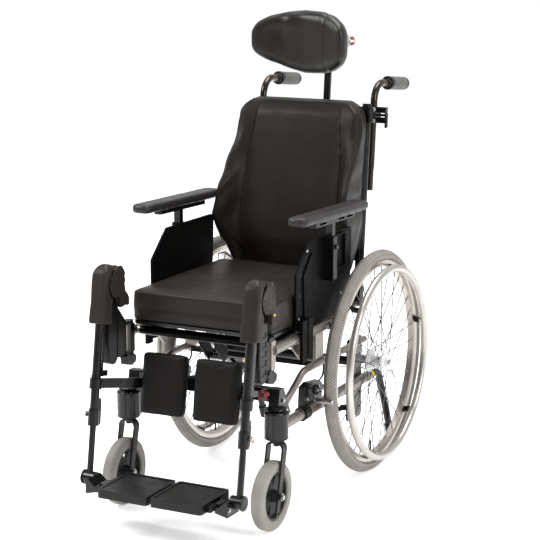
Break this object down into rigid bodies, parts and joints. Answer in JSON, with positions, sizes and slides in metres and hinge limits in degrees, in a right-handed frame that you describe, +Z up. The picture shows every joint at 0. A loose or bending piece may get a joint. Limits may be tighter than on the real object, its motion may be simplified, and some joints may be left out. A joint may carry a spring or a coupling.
{
  "type": "tilt in space wheelchair",
  "caption": "Tilt in space wheelchair with a tilting seat, reclining back, headrest, push handles, armrests and elevating leg rests on large rear wheels and casters.",
  "frame": {"origin": "on the floor, at the centre of the bounding box seen from above", "axes": "+Z up, the chair faces -Y, +X is the user's left"},
  "size_m": [0.588, 1.1506, 1.24],
  "materials": {
    "frame_paint": "satin",
    "black_paint": "satin",
    "brushed": "satin",
    "alloy": "satin",
    "tyre": "matte",
    "plastic": "matte",
    "grip": "matte",
    "vinyl": "satin",
    "pu": "matte"
  },
  "bodies": {
    "chassis": {"lower_rails": "frame_paint", "upper_tubes": "frame_paint", "axle_carrier": "frame_paint", "front_carrier": "black_paint", "brake_bodies": "black_paint"},
    "seat": {"seat_frame": "frame_paint", "seat_pan": "black_paint", "seat_cushion": "vinyl", "side_panels": "plastic"},
    "tilt_spring_barrel": {"tilt_cylinder": "black_paint"},
    "tilt_spring_rod": {"tilt_rod": "brushed"},
    "back": {"back_frame": "black_paint", "back_shell": "plastic", "back_cushion": "vinyl", "handle_clamps": "black_paint"},
    "recline_spring_barrel": {"recline_cylinder": "black_paint"},
    "recline_spring_rod": {"recline_rod": "brushed"},
    "headrest_post": {"head_post": "black_paint"},
    "headrest": {"head_shell": "plastic", "head_pad": "vinyl"},
    "left_rear_wheel": {"left_tyre": "tyre", "left_rim": "alloy", "left_spokes": "brushed", "left_handrim": "alloy"},
    "left_caster_fork": {"left_caster_fork": "black_paint"},
    "left_caster_wheel": {"left_caster_wheel": "plastic"},
    "left_brake": {"left_brake_shoe": "brushed"},
    "left_anti_tip": {"left_anti_tip": "black_paint"},
    "left_push_handle": {"left_handle": "black_paint", "left_grip": "grip"},
    "left_armrest": {"left_arm_post": "black_paint", "left_arm_pad": "pu"},
    "left_hanger": {"left_hanger": "plastic", "left_gaiter": "vinyl"},
    "left_leg": {"left_leg_tube": "black_paint", "left_sleeve": "vinyl"},
    "left_foot": {"left_foot_tube": "black_paint"},
    "left_footplate": {"left_footplate": "plastic"},
    "left_calf_rest": {"left_calf_bar": "black_paint", "left_calf_pad": "vinyl"},
    "right_rear_wheel": {"right_tyre": "tyre", "right_rim": "alloy", "right_spokes": "brushed", "right_handrim": "alloy"},
    "right_caster_fork": {"right_caster_fork": "black_paint"},
    "right_caster_wheel": {"right_caster_wheel": "plastic"},
    "right_brake": {"right_brake_shoe": "brushed"},
    "right_anti_tip": {"right_anti_tip": "black_paint"},
    "right_push_handle": {"right_handle": "black_paint", "right_grip": "grip"},
    "right_armrest": {"right_arm_post": "black_paint", "right_arm_pad": "pu"},
    "right_hanger": {"right_hanger": "plastic", "right_gaiter": "vinyl"},
    "right_leg": {"right_leg_tube": "black_paint", "right_sleeve": "vinyl"},
    "right_foot": {"right_foot_tube": "black_paint"},
    "right_footplate": {"right_footplate": "plastic"},
    "right_calf_rest": {"right_calf_bar": "black_paint", "right_calf_pad": "vinyl"}
  },
  "joints": [
    {"name": "seat_tilt", "type": "hinge", "parent": "chassis", "child": "seat", "pos_m": [0, -0.02835, 0.4525], "axis": [-1, 0, 0], "range_deg": [0, 20]},
    {"name": "tilt_spring_pivot", "type": "hinge", "parent": "chassis", "child": "tilt_spring_barrel", "pos_m": [0, -0.01335, 0.3], "axis": [-1, 0, 0], "range_deg": [0, 12.96]},
    {"name": "tilt_spring_stroke", "type": "slide", "parent": "tilt_spring_barrel", "child": "tilt_spring_rod", "axis": [0, -0.9191, 0.3939], "range_m": [0, 0.0436]},
    {"name": "back_recline", "type": "hinge", "parent": "seat", "child": "back", "pos_m": [0, 0.27015, 0.4525], "axis": [-1, 0, 0], "range_deg": [0, 30]},
    {"name": "recline_spring_pivot", "type": "hinge", "parent": "seat", "child": "recline_spring_barrel", "pos_m": [0, 0.12165, 0.421], "axis": [-1, 0, 0], "range_deg": [0, 10.38]},
    {"name": "recline_spring_stroke", "type": "slide", "parent": "recline_spring_barrel", "child": "recline_spring_rod", "axis": [0, 0.861, 0.5086], "range_m": [0, 0.0185]},
    {"name": "headrest_height", "type": "slide", "parent": "back", "child": "headrest_post", "axis": [0, 0.0958, 0.9954], "range_m": [-0.05, 0.09]},
    {"name": "headrest_tilt", "type": "hinge", "parent": "headrest_post", "child": "headrest", "pos_m": [0, 0.43717, 1.14367], "axis": [1, 0, 0], "range_deg": [-20, 20]},
    {"name": "left_wheel_spin", "type": "hinge", "parent": "chassis", "child": "left_rear_wheel", "pos_m": [0.242, 0.22165, 0.3045], "axis": [1, 0, 0], "continuous": true},
    {"name": "left_caster_swivel", "type": "hinge", "parent": "chassis", "child": "left_caster_fork", "pos_m": [0.213, -0.31235, 0.24], "axis": [0, 0, 1], "continuous": true},
    {"name": "left_caster_spin", "type": "hinge", "parent": "left_caster_fork", "child": "left_caster_wheel", "pos_m": [0.213, -0.33935, 0.0877], "axis": [1, 0, 0], "continuous": true},
    {"name": "left_brake_release", "type": "hinge", "parent": "chassis", "child": "left_brake", "pos_m": [0.2065, -0.09635, 0.299], "axis": [-1, 0, 0], "range_deg": [0, 15]},
    {"name": "left_anti_tip_turn", "type": "hinge", "parent": "chassis", "child": "left_anti_tip", "pos_m": [0.203, 0.27165, 0.246], "axis": [0, 1, 0], "range_deg": [0, 180]},
    {"name": "left_handle_height", "type": "slide", "parent": "back", "child": "left_push_handle", "axis": [0, 0.0958, 0.9954], "range_m": [0, 0.12]},
    {"name": "left_armrest_height", "type": "slide", "parent": "seat", "child": "left_armrest", "axis": [0, 0, 1], "range_m": [0, 0.07]},
    {"name": "left_hanger_swing", "type": "hinge", "parent": "seat", "child": "left_hanger", "pos_m": [0.201, -0.32285, 0.44], "axis": [0, 0, 1], "range_deg": [0, 90]},
    {"name": "left_leg_elevation", "type": "hinge", "parent": "left_hanger", "child": "left_leg", "pos_m": [0.2115, -0.39035, 0.592], "axis": [-1, 0, 0], "range_deg": [0, 70]},
    {"name": "left_leg_length", "type": "slide", "parent": "left_leg", "child": "left_foot", "axis": [0, -0.1564, -0.9877], "range_m": [-0.06, 0.05]},
    {"name": "left_footplate_flip", "type": "hinge", "parent": "left_foot", "child": "left_footplate", "pos_m": [0.1555, -0.50635, 0.108], "axis": [0, 1, 0], "range_deg": [0, 90]},
    {"name": "left_calf_rest_swing", "type": "hinge", "parent": "left_leg", "child": "left_calf_rest", "pos_m": [0.2115, -0.48375, 0.2492], "axis": [0, 0.1564, 0.9877], "range_deg": [0, 90]},
    {"name": "right_wheel_spin", "type": "hinge", "parent": "chassis", "child": "right_rear_wheel", "pos_m": [-0.242, 0.22165, 0.3045], "axis": [1, 0, 0], "continuous": true},
    {"name": "right_caster_swivel", "type": "hinge", "parent": "chassis", "child": "right_caster_fork", "pos_m": [-0.213, -0.31235, 0.24], "axis": [0, 0, 1], "continuous": true},
    {"name": "right_caster_spin", "type": "hinge", "parent": "right_caster_fork", "child": "right_caster_wheel", "pos_m": [-0.213, -0.33935, 0.0877], "axis": [1, 0, 0], "continuous": true},
    {"name": "right_brake_release", "type": "hinge", "parent": "chassis", "child": "right_brake", "pos_m": [-0.2065, -0.09635, 0.299], "axis": [-1, 0, 0], "range_deg": [0, 15]},
    {"name": "right_anti_tip_turn", "type": "hinge", "parent": "chassis", "child": "right_anti_tip", "pos_m": [-0.203, 0.27165, 0.246], "axis": [0, -1, 0], "range_deg": [0, 180]},
    {"name": "right_handle_height", "type": "slide", "parent": "back", "child": "right_push_handle", "axis": [0, 0.0958, 0.9954], "range_m": [0, 0.12]},
    {"name": "right_armrest_height", "type": "slide", "parent": "seat", "child": "right_armrest", "axis": [0, 0, 1], "range_m": [0, 0.07]},
    {"name": "right_hanger_swing", "type": "hinge", "parent": "seat", "child": "right_hanger", "pos_m": [-0.201, -0.32285, 0.44], "axis": [0, 0, -1], "range_deg": [0, 90]},
    {"name": "right_leg_elevation", "type": "hinge", "parent": "right_hanger", "child": "right_leg", "pos_m": [-0.2115, -0.39035, 0.592], "axis": [-1, 0, 0], "range_deg": [0, 70]},
    {"name": "right_leg_length", "type": "slide", "parent": "right_leg", "child": "right_foot", "axis": [0, -0.1564, -0.9877], "range_m": [-0.06, 0.05]},
    {"name": "right_footplate_flip", "type": "hinge", "parent": "right_foot", "child": "right_footplate", "pos_m": [-0.1555, -0.50635, 0.108], "axis": [0, -1, 0], "range_deg": [0, 90]},
    {"name": "right_calf_rest_swing", "type": "hinge", "parent": "right_leg", "child": "right_calf_rest", "pos_m": [-0.2115, -0.48375, 0.2492], "axis": [0, -0.1564, -0.9877], "range_deg": [0, 90]}
  ],
  "couplings": [
    {"joint": "tilt_spring_pivot", "follows": "seat_tilt", "ratio": 0.64776},
    {"joint": "tilt_spring_stroke", "follows": "seat_tilt", "m_per_rad": 0.12467},
    {"joint": "recline_spring_pivot", "follows": "back_recline", "ratio": 0.34582},
    {"joint": "recline_spring_stroke", "follows": "back_recline", "m_per_rad": 0.035309}
  ]
}
